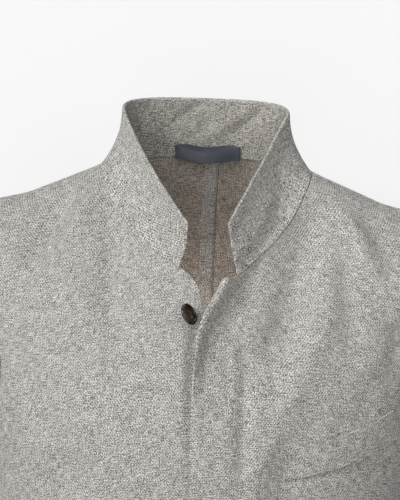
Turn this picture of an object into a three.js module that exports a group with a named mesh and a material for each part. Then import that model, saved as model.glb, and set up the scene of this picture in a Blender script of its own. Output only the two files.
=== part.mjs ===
// A men's unlined stand collar jacket in light grey wool twill, in its worn shape with no wearer in it.
// Millimetres, +Z up, the front faces -Y and the wearer's left is +X.
// The origin is the nape, where the back neck seam rests on the wearer.
import * as THREE from "three";

const degree = Math.PI / 180;
const seamGap = 0.3;
const layerGap = 1.2;
const sleeveGap = 0.6;
const collarGap = 0.42;
const clothThickness = 2;
const collarThickness = 1.6;
const facingThickness = 1.2;
const tapeThickness = 1;
const ribbonThickness = 1;

// The body is a stack of rings. Each ring has its widest point at the side (angle 90 degrees),
// its front point on the centre front (0) and its back point on the centre back (180).
// frontSquare and backSquare are exponents: 2 is an ellipse, more is boxier, less is pointed.
const bodyRings = [
  // hem
  { halfWidth: 205, sideY: -84, frontY: -213, backY: 46, sideZ: -722, frontZ: -726, backZ: -720, frontSquare: 2.3, backSquare: 2.3 },
  // hips
  { halfWidth: 202, sideY: -84, frontY: -213, backY: 43, sideZ: -620, frontZ: -622, backZ: -620, frontSquare: 2.3, backSquare: 2.3 },
  // waist
  { halfWidth: 187, sideY: -86, frontY: -210, backY: 24, sideZ: -450, frontZ: -450, backZ: -450, frontSquare: 2.25, backSquare: 2.25 },
  // ribs
  { halfWidth: 190, sideY: -85, frontY: -215, backY: 34, sideZ: -350, frontZ: -350, backZ: -350, frontSquare: 2.35, backSquare: 2.3 },
  // underarm
  { halfWidth: 196, sideY: -84, frontY: -219, backY: 43, sideZ: -258, frontZ: -268, backZ: -256, frontSquare: 2.4, backSquare: 2.4 },
  // middle of the armhole
  { halfWidth: 206, sideY: -82, frontY: -212, backY: 47, sideZ: -160, frontZ: -208, backZ: -166, frontSquare: 2.3, backSquare: 2.4 },
  // shoulder point
  { halfWidth: 224, sideY: -74, frontY: -190, backY: 34, sideZ: -58, frontZ: -152, backZ: -84, frontSquare: 1.72, backSquare: 1.95 },
  // middle of the shoulder
  { halfWidth: 158, sideY: -68, frontY: -171, backY: 16, sideZ: -29, frontZ: -120, backZ: -40, frontSquare: 1.75, backSquare: 2 },
  // neck seam
  { halfWidth: 98, sideY: -62, frontY: -152, backY: 0, sideZ: -5, frontZ: -91, backZ: 0, frontSquare: 1.8, backSquare: 2.4 },
];
const underarmRow = 4;
const shoulderRow = 6;
const neckRow = 8;
const ringDrop = 1.4;
const shoulderLean = 0.035;

// The centre back seam hangs a little to the wearer's left: how far, from the hem row up to the neck row.
const backSeamShifts = [0, 0, 0, 0, 3, 5.5, 8.3, 9.9, 12.6].map((x) => ({ x }));

// Side and shoulder seams lie a little behind the ring's side point. The armhole cuts into both panels.
const seamAngle = 94 * degree;
const armholeFrontAngle = 24 * degree;
const armholeBackAngle = 20 * degree;

// The centre lines of the two fronts spread apart above the chest, where the top button is undone.
const frontExtension = 14;
const openingTable = [
  { z: -726, leftCentre: -2, rightCentre: 0 },
  { z: -300, leftCentre: -1, rightCentre: 0 },
  { z: -220, leftCentre: 0, rightCentre: -3 },
  { z: -180, leftCentre: 2, rightCentre: -7 },
  { z: -146, leftCentre: 5.5, rightCentre: -11 },
  { z: -120, leftCentre: 13.5, rightCentre: -16 },
  { z: -104, leftCentre: 20.5, rightCentre: -20 },
  { z: -92, leftCentre: 27.5, rightCentre: -24 },
];
const lapLift = 6.2;

// Both fronts roll out beside the open neck, from no roll at a low height to the full roll higher up.
// The right one is flat by its edge. The left one is highest at its edge and dies away over each reach.
const rightRoll = { height: 3, lowZ: -230, highZ: -100, from: 12, to: 46 };
const leftRoll = { lowZ: -230, highZ: -110, start: 8, soft: 6 };
const leftRollWaves = [{ height: 10, reach: 12 }, { height: 8, reach: 35 }];

// The left neckline hangs lower than the right one, from no drop at one angle to the full drop by the edge.
const leftSag = { drop: 16, fromAngle: 0.7, toAngle: 0.1 };

// Largest soft folds, from one point to another: height above 0 is a ridge, below 0 a trough.
const folds = [
  { face: "front", x: 110, z: -30, toX: 138, toZ: -110, width: 15, height: -5 },
  { face: "front", x: 128, z: -35, toX: 176, toZ: -120, width: 15, height: 4 },
  { face: "front", x: -112, z: -30, toX: -150, toZ: -105, width: 15, height: 4 },
  { face: "front", x: -128, z: -35, toX: -186, toZ: -120, width: 16, height: -5 },
  { face: "front", x: 80, z: -250, toX: 62, toZ: -420, width: 24, height: -4 },
  { face: "front", x: 130, z: -320, toX: 120, toZ: -600, width: 30, height: -5 },
  { face: "front", x: -85, z: -230, toX: -75, toZ: -420, width: 30, height: -4 },
  { face: "front", x: -130, z: -340, toX: -118, toZ: -620, width: 30, height: -5 },
  { face: "back", x: 60, z: -210, toX: 120, toZ: -330, width: 22, height: -5 },
  { face: "back", x: -55, z: -230, toX: -125, toZ: -340, width: 20, height: -4 },
  { face: "back", x: 90, z: -420, toX: 80, toZ: -660, width: 30, height: -5 },
  { face: "back", x: -95, z: -440, toX: -88, toZ: -650, width: 30, height: -5 },
];

// Sleeve rings below the armhole: centre, half width across and half depth front to back.
const sleeveRings = [
  { x: 256, y: -80, z: -290, across: 53, deep: 66 },
  { x: 262, y: -80, z: -360, across: 50, deep: 60 },
  { x: 268, y: -86, z: -440, across: 47, deep: 56 },
  { x: 276, y: -100, z: -550, across: 43, deep: 51 },
  { x: 286, y: -124, z: -668, across: 38, deep: 46 },
];
const foreSeamAngle = 60 * degree;
const hindSeamAngle = -60 * degree;
const sleeveFolds = [
  { z: -395, angle: 60, spread: 45, width: 12, height: -5 },
  { z: -425, angle: 70, spread: 50, width: 11, height: 4 },
  { z: -452, angle: 50, spread: 40, width: 12, height: -4 },
  { z: -500, angle: 100, spread: 50, width: 16, height: -3 },
  { z: -330, angle: 290, spread: 50, width: 18, height: -4 },
  { z: -600, angle: 220, spread: 60, width: 16, height: -3 },
];

// The collar's top edge is a ring as well, pointed at the front so that its ends stand in a V.
const collarTops = {
  left: {
    halfWidth: 77, sideY: -52, frontY: -182, backY: -4, drop: 1,
    sideZ: 50, frontZ: -77, backZ: 57, frontSquare: 1, backSquare: 3,
  },
  right: {
    halfWidth: 77, sideY: -52, frontY: -181, backY: -4, drop: 1,
    sideZ: 50, frontZ: -57, backZ: 57, frontSquare: 1.17, backSquare: 3,
  },
};
const collarEndAngles = { left: 12.1 * degree, right: 8.8 * degree };
const collarFlare = 2.2;
const facingLowerEdge = 0.205;
const tapeEnd = 0.66;

const loopStart = -28.7;
const loopEnd = 32.4;
const loopSag = 4.5;
const loopStand = 4;

// The welt's lower edge rises towards the armhole, and bends up more near its end.
const welt = { startX: 68, endX: 171, lowZ: -265, rise: 16, bend: 12, height: 28, lean: 4, stand: 0.8 };

const buttonRadius = 10.3;
const buttonThickness = 3.4;
const topButton = { x: -15.4, z: -120, stand: 11.6 };
const topButtonFace = new THREE.Vector3(0.766, -0.45, 0.445).normalize();
const hiddenButtonHeights = [-215, -310, -405, -500];

const smooth = (value, low, high) => THREE.MathUtils.smoothstep(value, low, high);
const lerp = THREE.MathUtils.lerp;
const clamp = THREE.MathUtils.clamp;
const evenly = (low, high, count) => Array.from({ length: count + 1 }, (_, k) => lerp(low, high, k / count));

// A smooth curve through the rows of a table, read at a fractional row.
function rowValue(table, column, at) {
  const last = table.length - 1;
  const row = clamp(Math.floor(at), 0, last - 1);
  const t = at - row;
  const before = table[Math.max(row - 1, 0)][column];
  const start = table[row][column];
  const end = table[row + 1][column];
  const after = table[Math.min(row + 2, last)][column];
  const startSlope = row === 0 ? end - start : (end - before) / 2;
  const endSlope = row === last - 1 ? end - start : (after - start) / 2;
  const t2 = t * t;
  const t3 = t2 * t;
  return (2 * t3 - 3 * t2 + 1) * start + (t3 - 2 * t2 + t) * startSlope
    + (3 * t2 - 2 * t3) * end + (t3 - t2) * endSlope;
}

function heightValue(table, column, z) {
  const next = table.findIndex((row) => row.z >= z);
  if (next === 0) return table[0][column];
  if (next < 0) return table[table.length - 1][column];
  const low = table[next - 1];
  const high = table[next];
  return THREE.MathUtils.mapLinear(z, low.z, high.z, low[column], high[column]);
}

function ringPoint(ring, angle) {
  const cos = Math.cos(angle);
  const front = cos >= 0;
  const depth = front ? ring.sideY - ring.frontY : ring.backY - ring.sideY;
  const square = front ? ring.frontSquare : ring.backSquare;
  const radius = (Math.abs(cos / depth) ** square
    + Math.abs(Math.sin(angle) / ring.halfWidth) ** square) ** (-1 / square);
  const reach = Math.abs(radius * cos) / depth;
  const endZ = front ? ring.frontZ : ring.backZ;
  return new THREE.Vector3(
    radius * Math.sin(angle),
    ring.sideY - radius * cos,
    ring.sideZ + (endZ - ring.sideZ) * reach ** ring.drop,
  );
}

function bodyRing(at) {
  const ring = { drop: ringDrop };
  for (const column of Object.keys(bodyRings[0])) ring[column] = rowValue(bodyRings, column, at);
  return ring;
}

function bareBody(at, angle) {
  const point = ringPoint(bodyRing(at), angle);
  point.z -= shoulderLean * point.x * smooth(at, 3, 7);
  return point;
}

function normalOf(surface, u, v) {
  const step = 1e-3;
  const alongU = surface(u + step, v).sub(surface(u - step, v));
  const alongV = surface(u, v + step).sub(surface(u, v - step));
  return alongV.cross(alongU).normalize();
}

function foldHeight(point) {
  const faceShare = { front: 1 - smooth(point.y, -110, -72), back: smooth(point.y, -70, -30) };
  let height = 0;
  for (const fold of folds) {
    const run = new THREE.Vector2(fold.toX - fold.x, fold.toZ - fold.z);
    const offset = new THREE.Vector2(point.x - fold.x, point.z - fold.z);
    const along = clamp(offset.dot(run) / run.lengthSq(), -0.3, 1.3);
    const away = offset.addScaledVector(run, -along).length() / fold.width;
    const fade = smooth(along, -0.3, 0.25) * (1 - smooth(along, 0.6, 1.3));
    height += faceShare[fold.face] * fold.height * fade * Math.exp(-away * away);
  }
  return height;
}

function centreLine(isLeft, z) {
  return heightValue(openingTable, isLeft ? "leftCentre" : "rightCentre", z);
}

// The left front laps over the right one, and both fronts roll out beside the open neck.
function frontLift(point, isLeft) {
  if (point.y > -100) return 0;
  const fromCentre = (point.x - centreLine(isLeft, point.z)) * (isLeft ? 1 : -1);
  const lap = lapLift * (1 - smooth(point.x, 24, 78));
  if (!isLeft) {
    const { height, lowZ, highZ, from, to } = rightRoll;
    return height * smooth(point.z, lowZ, highZ) * (1 - smooth(fromCentre, from, to));
  }
  const past = fromCentre + leftRoll.start;
  const away = (past + Math.sqrt(past * past + leftRoll.soft)) / 2;
  const open = smooth(point.z, leftRoll.lowZ, leftRoll.highZ);
  return lap + open * leftRollWaves.reduce((sum, wave) => sum + wave.height * Math.exp(-away / wave.reach), 0);
}

// side is 1 for the wearer's left and -1 for the right; angle runs from the centre front to the centre back.
function body(side) {
  return (at, angle) => {
    const point = bareBody(at, side * angle);
    const normal = normalOf(bareBody, at, side * angle);
    point.addScaledVector(normal, frontLift(point, side > 0) + foldHeight(point));
    if (side > 0) {
      const share = 1 - smooth(Math.abs(angle), leftSag.toAngle, leftSag.fromAngle);
      point.z -= leftSag.drop * smooth(at, shoulderRow, neckRow) * share;
    }
    return point;
  };
}

function outward(side, surface) {
  return (u, v) => normalOf(surface, u, v).multiplyScalar(side);
}

// A closed wall of cloth over a grid of mid-surface points with their outward normals.
// Rows run up and columns run to the wearer's left as seen from the front; otherwise flip is set.
function clothWall(grid, thickness, flip = false) {
  const rows = grid.length;
  const columns = grid[0].length;
  const positions = [];
  for (const face of [0.5, -0.5]) {
    for (const row of grid) {
      for (const { point, normal } of row) {
        positions.push(...point.clone().addScaledVector(normal, face * thickness).toArray());
      }
    }
  }
  const size = rows * columns;
  const index = [];
  const quad = (a, b, c, d) => (flip ? index.push(a, c, b, a, d, c) : index.push(a, b, c, a, c, d));
  const rim = [];
  for (let row = 0; row < rows; row += 1) {
    for (let column = 0; column < columns; column += 1) {
      const a = row * columns + column;
      if (row + 1 < rows && column + 1 < columns) {
        quad(a, a + 1, a + 1 + columns, a + columns);
        quad(size + a + columns, size + a + 1 + columns, size + a + 1, size + a);
      }
    }
  }
  for (let column = 0; column < columns - 1; column += 1) rim.push(column);
  for (let row = 0; row < rows - 1; row += 1) rim.push(row * columns + columns - 1);
  for (let column = columns - 1; column > 0; column -= 1) rim.push((rows - 1) * columns + column);
  for (let row = rows - 1; row > 0; row -= 1) rim.push(row * columns);
  rim.forEach((start, k) => {
    const end = rim[(k + 1) % rim.length];
    quad(start, size + start, size + end, end);
  });
  const geometry = new THREE.BufferGeometry();
  geometry.setAttribute("position", new THREE.Float32BufferAttribute(positions, 3));
  geometry.setIndex(index);
  geometry.computeVertexNormals();
  return geometry;
}

// Columns of a panel: 0 is its centre line, 1 an angle that no seam reaches, 2 its side seam or armhole.
// A front has one more at its edge, at -1.
const frontColumns = [0, 0.06, 0.12, 0.18, ...evenly(0.25, 1, 6), ...evenly(1, 2, 4).slice(1)];
const backColumns = [...evenly(0, 1, 6), ...evenly(1, 2, 4).slice(1)];
const frontInnerAngle = 60 * degree;
const backInnerAngle = 126 * degree;

function columnAngle(column, centreEnd, innerAngle, sideEnd) {
  if (column > 1) return lerp(innerAngle, sideEnd, column - 1);
  return lerp(centreEnd, innerAngle, Math.max(column, 0));
}

const makeGrid = (rows, columns, pointAt) => rows.map((row) => columns.map((column) => pointAt(row, column)));

// Rows run from the hem to the neck. Between underarm and shoulder they follow the armhole's half turn.
const armholeSteps = 12;
const armholeTurns = evenly(0, Math.PI, armholeSteps);
const armholeShare = (turn) => lerp((1 - Math.cos(turn)) / 2, turn / Math.PI, 0.3);
const armholeAt = (turn) => lerp(underarmRow, shoulderRow, armholeShare(turn));
const skirtRows = evenly(0, underarmRow, 11).slice(0, -1);
const yokeRows = [6.35, 6.7, 7.05, 7.4, 7.65, 7.82, 7.93, neckRow];
const bodyRows = [
  ...skirtRows.map((at) => ({ at, turn: 0 })),
  ...armholeTurns.map((turn) => ({ at: armholeAt(turn), turn })),
  ...yokeRows.map((at) => ({ at, turn: 0 })),
];

// The angle of the centre line, or of the front edge where past is 1.
// The extension past the centre line is rounded off at its top corner, more so on the right front.
function frontAngle(at, isLeft, past) {
  const ring = bodyRing(at);
  const { z } = bareBody(at, 0);
  const square = isLeft ? 11 : 1.5;
  const radius = isLeft ? 4 : 15;
  const fromTop = bareBody(neckRow, 0).z - z;
  const round = fromTop < radius ? Math.sqrt(1 - (1 - fromTop / radius) ** 2) : 1;
  const extension = square + (frontExtension - square) * round;
  const x = centreLine(isLeft, z) * (isLeft ? 1 : -1) - extension * past;
  return Math.asin(x / (ring.sideY - ring.frontY));
}

function bodyPanel(side, isFront) {
  const surface = body(side);
  const normal = outward(side, surface);
  const columns = isFront ? [-1, ...frontColumns] : backColumns;
  const grid = makeGrid(bodyRows, columns, ({ at, turn }, share) => {
    const ring = bodyRing(at);
    const trim = seamGap / 2 / ring.halfWidth;
    const armhole = isFront ? -armholeFrontAngle : armholeBackAngle;
    const sideEnd = seamAngle + armhole * Math.sin(turn) + (isFront ? -trim : trim);
    const centreEnd = isFront
      ? frontAngle(at, side > 0, share < 0 ? 1 : 0)
      : Math.PI - (side * rowValue(backSeamShifts, "x", at) + seamGap / 2) / (ring.backY - ring.sideY);
    const angle = columnAngle(share, centreEnd, isFront ? frontInnerAngle : backInnerAngle, sideEnd);
    return { point: surface(at, angle), normal: normal(at, angle) };
  });
  return clothWall(grid, clothThickness, (side > 0) !== isFront);
}

// The armhole seam as a closed line: 0 is the underarm, half a turn is the shoulder point, the front comes first.
function armholeEdge(side, turn) {
  const surface = body(side);
  const half = turn <= Math.PI ? turn : 2 * Math.PI - turn;
  const at = armholeAt(half);
  const cut = turn <= Math.PI ? -armholeFrontAngle : armholeBackAngle;
  const angle = seamAngle + cut * Math.sin(half);
  return { point: surface(at, angle), normal: outward(side, surface)(at, angle) };
}

function sleeveRing(side, at, turn) {
  const centreAt = (row) => new THREE.Vector3(
    side * rowValue(sleeveRings, "x", row), rowValue(sleeveRings, "y", row), rowValue(sleeveRings, "z", row),
  );
  const down = centreAt(at + 0.01).sub(centreAt(at - 0.01)).normalize();
  const forward = new THREE.Vector3(0, -1, 0).addScaledVector(down, down.y).normalize();
  const outer = new THREE.Vector3().crossVectors(forward, down).multiplyScalar(-side).normalize();
  if (outer.x * side < 0) outer.negate();
  const centre = centreAt(at);
  let swell = 0;
  for (const fold of sleeveFolds) {
    const mirrored = side > 0 ? fold.angle : fold.angle + 12;
    const turned = THREE.MathUtils.euclideanModulo(turn / degree - mirrored + 180, 360) - 180;
    const slanted = (centre.z - fold.z - turned * 0.25 - (side > 0 ? 0 : 9)) / fold.width;
    swell += fold.height * Math.exp(-slanted * slanted - (turned / fold.spread) ** 2);
  }
  const point = centre.clone()
    .addScaledVector(outer, -Math.cos(turn) * (rowValue(sleeveRings, "across", at) + swell))
    .addScaledVector(forward, Math.sin(turn) * (rowValue(sleeveRings, "deep", at) + swell));
  return { point, down };
}

// A sleeve is a tube: it leaves the armhole, bends down to the first ring (1) and follows the rings to the cuff.
function sleeveCurve(side, turn) {
  const step = 1e-3;
  const full = THREE.MathUtils.euclideanModulo(turn, 2 * Math.PI);
  const edge = armholeEdge(side, full);
  const along = armholeEdge(side, (full + step) % (2 * Math.PI)).point
    .sub(armholeEdge(side, (full - step + 2 * Math.PI) % (2 * Math.PI)).point).normalize();
  const away = along.clone().cross(edge.normal).multiplyScalar(side);
  const bend = (44 + 46 * Math.cos(full)) * degree;
  const leave = away.multiplyScalar(Math.cos(bend)).addScaledVector(edge.normal, Math.sin(bend)).normalize();
  const offset = sleeveGap + (clothThickness / 2) * Math.abs(Math.sin(bend));
  const start = edge.point.clone().addScaledVector(leave, offset);
  const { point: end, down } = sleeveRing(side, 0, full);
  const reach = end.distanceTo(start);
  return new THREE.CubicBezierCurve3(
    start,
    start.clone().addScaledVector(leave, reach * 0.26),
    end.clone().addScaledVector(down, reach * -0.42),
    end,
  );
}

function sleevePoint(side, at, turn) {
  if (at >= 1) return sleeveRing(side, at - 1, THREE.MathUtils.euclideanModulo(turn, 2 * Math.PI)).point;
  return sleeveCurve(side, turn).getPoint(clamp(at, 0, 1));
}

const sleeveRows = [
  0, 0.05, 0.12, 0.25, 0.42, 0.62, 0.82, 1,
  1.5, 2, 2.25, 2.5, 2.75, 3, 3.25, 3.6, 4, 4.5, 5,
];

function sleevePiece(side, isTop) {
  const [from, to] = isTop ? [foreSeamAngle, 2 * Math.PI + hindSeamAngle] : [hindSeamAngle, foreSeamAngle];
  const turns = evenly(from, to, Math.round((to - from) / (Math.PI / armholeSteps)));
  const columns = turns.map((turn, k) => {
    const inward = k === 0 ? 1 : k === turns.length - 1 ? -1 : 0;
    return turn + (inward * seamGap) / 2 / 32;
  });
  const surface = (at, turn) => sleevePoint(side, at, turn);
  const grid = makeGrid(sleeveRows, columns, (at, turn) => {
    const step = 4e-3;
    const low = Math.max(at - step, 0);
    const alongRow = surface(Math.min(at + step, 5), turn).sub(surface(low, turn));
    const acrossRow = surface(at, turn + step).sub(surface(at, turn - step));
    const normal = alongRow.cross(acrossRow).multiplyScalar(side).normalize();
    return { point: surface(at, turn), normal };
  });
  return clothWall(grid, clothThickness, side > 0);
}

// Along the collar: -1 is its end on the wearer's right, 0 the centre back and 1 its end on the left.
function collarAngles(along) {
  const isLeft = along >= 0;
  const side = isLeft ? 1 : -1;
  const baseEnd = frontAngle(neckRow, isLeft, 0);
  const half = isLeft ? "left" : "right";
  const share = Math.abs(along);
  const topAngle = side * lerp(Math.PI, collarEndAngles[half], share);
  return { side, base: lerp(Math.PI, baseEnd, share), top: ringPoint(collarTops[half], topAngle) };
}

// up is 0 at the neck seam and 1 at the top edge. The stand is hollow: it sweeps in quickly, then rises.
function collarPoint(up, along) {
  const { side, base, top } = collarAngles(along);
  const surface = body(side);
  const seam = surface(neckRow, base);
  top.z -= shoulderLean * top.x;
  const rise = top.clone().sub(seam);
  const leave = new THREE.Vector3(rise.x * collarFlare, rise.y * collarFlare, rise.z).normalize();
  const tilt = Math.abs(leave.dot(outward(side, surface)(neckRow, base)));
  seam.addScaledVector(leave, collarGap + (clothThickness / 2) * tilt);
  const sweep = (1 - Math.max(up, 0)) ** collarFlare;
  return new THREE.Vector3(
    lerp(top.x, seam.x, sweep),
    lerp(top.y, seam.y, sweep),
    lerp(seam.z, top.z, up),
  );
}

// Each row is a function that gives its height share at a place along the collar.
function collarGrid(ups, alongs, inward) {
  return makeGrid(ups, alongs, (up, along) => {
    const upHere = up(along);
    const step = 2e-3;
    const low = Math.max(upHere - step, 0);
    const alongUp = collarPoint(Math.min(upHere + step, 1), along).sub(collarPoint(low, along));
    const acrossUp = collarPoint(upHere, Math.min(along + step, 1)).sub(collarPoint(upHere, Math.max(along - step, -1)));
    const normal = alongUp.cross(acrossUp).normalize();
    const point = collarPoint(upHere, along).addScaledVector(normal, -inward);
    return { point, normal };
  });
}

// The collar's columns stand on the panels' columns, so that the two edges run parallel.
function collarHalf(isLeft) {
  const end = frontAngle(neckRow, isLeft, 0);
  const angles = [
    ...backColumns.map((column) => columnAngle(column, Math.PI, backInnerAngle, seamAngle)),
    ...frontColumns.slice(0, -1).reverse().map((column) => columnAngle(column, end, frontInnerAngle, seamAngle)),
  ];
  return angles.map((angle) => (Math.PI - angle) / (Math.PI - end));
}
const collarColumns = [
  ...collarHalf(false).slice(1).reverse().map((along) => -along),
  ...collarHalf(true),
];
const lowerEdge = (along) => lerp(facingLowerEdge, 0.06, smooth(Math.abs(along), 0.45, tapeEnd + 0.1));

const standRows = [0, 0.35, 0.7].map((share) => (along) => share * lowerEdge(along));
const upperRows = evenly(0, 1, 5).map((share) => (along) => lerp(lowerEdge(along), 1, share));
const tapeRows = [0.12, 0.35, 0.7, 1].map((share) => (along) => share * (lowerEdge(along) - 0.01));
const tapeColumns = collarColumns.filter((along) => Math.abs(along) <= tapeEnd);

const facingInward = collarThickness / 2 + layerGap + facingThickness / 2;
const tapeInward = collarThickness / 2 + layerGap + tapeThickness / 2;

function alongAt(x, up) {
  let [low, high] = [-0.5, 0.5];
  for (let k = 0; k < 24; k += 1) {
    const middle = (low + high) / 2;
    if (collarPoint(up, middle).x < x) low = middle;
    else high = middle;
  }
  return low;
}

function loopWall() {
  const inward = tapeInward + tapeThickness / 2 + layerGap + ribbonThickness / 2;
  const centre = (loopStart + loopEnd) / 2;
  const half = (loopEnd - loopStart) / 2;
  const rows = evenly(0, 1, 2);
  const columns = evenly(-1, 1, 10);
  const grid = makeGrid(rows, columns, (row, across) => {
    const x = centre + half * across;
    const along = alongAt(x, facingLowerEdge);
    const bow = Math.cos((across * Math.PI) / 2) ** 1.5;
    const base = collarGrid([() => 0.97 * lowerEdge(along)], [along], inward)[0][0];
    const point = base.point.clone();
    point.x = x;
    point.z -= (1 - row) * (13 + loopSag * bow);
    point.y -= bow * loopStand * (1 - row * 0.9);
    return { point, normal: new THREE.Vector3(0, 1, 0) };
  });
  return clothWall(grid, ribbonThickness, true);
}

// Finds the row and angle where a front panel has this x and z.
function onFront(side, x, z) {
  const surface = body(side);
  let at = 4.5;
  let angle = 0.4;
  for (let k = 0; k < 12; k += 1) {
    const here = surface(at, angle);
    const step = 1e-3;
    const byAt = surface(at + step, angle).sub(here).divideScalar(step);
    const byAngle = surface(at, angle + step).sub(here).divideScalar(step);
    const det = byAt.x * byAngle.z - byAngle.x * byAt.z;
    const [dx, dz] = [x - here.x, z - here.z];
    at += clamp((dx * byAngle.z - byAngle.x * dz) / det, -0.5, 0.5);
    angle += clamp((byAt.x * dz - dx * byAt.z) / det, -0.3, 0.3);
  }
  return { point: surface(at, angle), normal: outward(side, surface)(at, angle) };
}

function weltWall() {
  const lift = clothThickness + welt.stand;
  const grid = makeGrid(evenly(0, 1, 4), evenly(0, 1, 12), (row, across) => {
    const x = lerp(welt.startX, welt.endX, across) - row * welt.lean;
    const z = welt.lowZ + welt.rise * across + welt.bend * across ** 3 + welt.height * row;
    const { point, normal } = onFront(1, x, z);
    return { point: point.addScaledVector(normal, lift), normal };
  });
  return clothWall(grid, clothThickness);
}

// A horn button turned on a lathe: flat back, raised round rim and a dished face.
function buttonBody(radius, thickness) {
  const profile = [
    [0, 0], [radius * 0.8, 0], [radius * 0.97, thickness * 0.3], [radius, thickness * 0.62],
    [radius * 0.93, thickness * 0.94], [radius * 0.82, thickness], [radius * 0.7, thickness * 0.8],
    [radius * 0.4, thickness * 0.6], [0, thickness * 0.55],
  ];
  const geometry = new THREE.LatheGeometry(profile.map(([x, y]) => new THREE.Vector2(x, y)), 28);
  return geometry.translate(0, -thickness / 2, 0);
}

function placeButton(geometry, centre, face) {
  const turn = new THREE.Quaternion().setFromUnitVectors(new THREE.Vector3(0, 1, 0), face);
  return geometry.applyQuaternion(turn).translate(centre.x, centre.y, centre.z);
}

const group = new THREE.Group();

function addPiece(name, geometry, material) {
  const mesh = new THREE.Mesh(geometry, material);
  mesh.name = name;
  group.add(mesh);
}

const twill = new THREE.MeshStandardMaterial({ color: 0xb9b6b1, roughness: 0.95, metalness: 0 });
const satin = new THREE.MeshStandardMaterial({ color: 0x3a3d44, roughness: 0.45, metalness: 0 });
const horn = new THREE.MeshStandardMaterial({ color: 0x2a1c14, roughness: 0.3, metalness: 0 });

for (const [side, name] of [[1, "left"], [-1, "right"]]) {
  addPiece(`front_${name}`, bodyPanel(side, true), twill);
  addPiece(`back_${name}`, bodyPanel(side, false), twill);
  addPiece(`sleeve_${name}_top`, sleevePiece(side, true), twill);
  addPiece(`sleeve_${name}_under`, sleevePiece(side, false), twill);
}
const collarPiece = (ups, alongs, inward, thickness) => clothWall(collarGrid(ups, alongs, inward), thickness, true);
addPiece("collar", collarPiece([...standRows, ...upperRows], collarColumns, 0, collarThickness), twill);
addPiece("collar_facing", collarPiece(upperRows, collarColumns, facingInward, facingThickness), twill);
addPiece("neck_tape", collarPiece(tapeRows, tapeColumns, tapeInward, tapeThickness), twill);
addPiece("hanger_loop", loopWall(), satin);
addPiece("chest_pocket_welt", weltWall(), twill);

const topSeat = onFront(-1, topButton.x, topButton.z);
const topCentre = topSeat.point.clone().add(new THREE.Vector3(0, -topButton.stand, 0));
addPiece("button_top", placeButton(buttonBody(buttonRadius, buttonThickness), topCentre, topButtonFace), horn);
hiddenButtonHeights.forEach((z, k) => {
  const { point, normal } = onFront(-1, -1, z);
  const centre = point.addScaledVector(normal, lapLift / 2);
  addPiece(`button_${k + 2}`, placeButton(buttonBody(buttonRadius, 2.8), centre, normal), horn);
});

export default group;
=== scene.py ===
# Stand collar jacket in light grey wool twill: cloth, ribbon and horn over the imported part.
# Shapes are worked out in millimetres and turned into metres where a mesh is made.
import math

import bpy
import numpy as np
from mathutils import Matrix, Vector


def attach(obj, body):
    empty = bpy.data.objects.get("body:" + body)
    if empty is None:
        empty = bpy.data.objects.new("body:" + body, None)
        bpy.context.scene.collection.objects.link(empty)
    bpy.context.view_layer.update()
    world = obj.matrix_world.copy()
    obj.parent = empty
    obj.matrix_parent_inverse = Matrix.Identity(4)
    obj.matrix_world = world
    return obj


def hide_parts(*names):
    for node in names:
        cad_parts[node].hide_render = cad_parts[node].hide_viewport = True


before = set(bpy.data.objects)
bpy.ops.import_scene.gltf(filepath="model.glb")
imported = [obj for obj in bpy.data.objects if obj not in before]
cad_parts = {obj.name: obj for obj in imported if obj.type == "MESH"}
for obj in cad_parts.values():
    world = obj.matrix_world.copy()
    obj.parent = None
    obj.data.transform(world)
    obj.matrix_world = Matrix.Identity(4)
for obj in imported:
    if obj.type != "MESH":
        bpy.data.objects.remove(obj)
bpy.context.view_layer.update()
print("frame loaded")


def smooth(value, low, high):
    t = np.clip((value - low) / (high - low), 0, 1)
    return t * t * (3 - 2 * t)


def lerp(a, b, t):
    return a + (b - a) * t


def linear(hexColour):  # sRGB hex to linear RGBA
    channels = [int(hexColour[i : i + 2], 16) / 255 for i in (1, 3, 5)]
    return [c / 12.92 if c <= 0.04045 else ((c + 0.055) / 1.055) ** 2.4 for c in channels] + [1.0]


def addNode(tree, kind, settings=None, **links):  # links: socket name or number to an output or a value
    node = tree.nodes.new("ShaderNode" + kind)
    for key, value in (settings or {}).items():
        setattr(node, key, value)
    for key, value in links.items():
        socket = node.inputs[int(key[1:])] if key[0] == "_" else node.inputs[key.replace("_", " ")]
        if isinstance(value, bpy.types.NodeSocket):
            tree.links.new(value, socket)
        else:
            socket.default_value = value
    return node


def addObject(name, data):
    obj = bpy.data.objects.new(name, data)
    bpy.context.scene.collection.objects.link(obj)
    return obj


def newMaterial(name):
    material = bpy.data.materials.new(name)
    material.use_nodes = True
    tree = material.node_tree
    tree.nodes.clear()
    return material, tree, tree.nodes.new("ShaderNodeOutputMaterial")


# Cloth
cloth = {
    "pale": "#efede8",  # pale fibres
    "middle": "#a5a29c",
    "deep": "#575653",  # dark fibres of the melange
    "toneRange": (0.3, 0.72),  # all dark fibres below the first, all pale ones above the second
    "yarnWidth": 0.5,  # mm, a little coarser than the real yarn so that it shows at this distance
    "yarnLength": 1.2,  # mm of a float before it dives under
    "twillPitch": 2.15,  # mm, real pitch is about 1.2: coarser for the same reason
    "twillAngle": 52,  # degrees that the diagonal rises
    "collarAngle": -20,  # the collar is cut nearly across the twill
    "twillStrength": 0.15,
    "contrast": 1.5,
    "slub": (7.0, 0.9),  # mm, length and width of the thicker stretches of weft
    "warp": (0.9, 9.0),  # the same up and down
    "cloud": (16.0, 12.0),  # slow changes over a hand's width
    "bump": 0.3,
    "reverseTint": "#fff7ef",  # the inside is a little browner
    "reverseShade": 0.9,  # and darker
}


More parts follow.
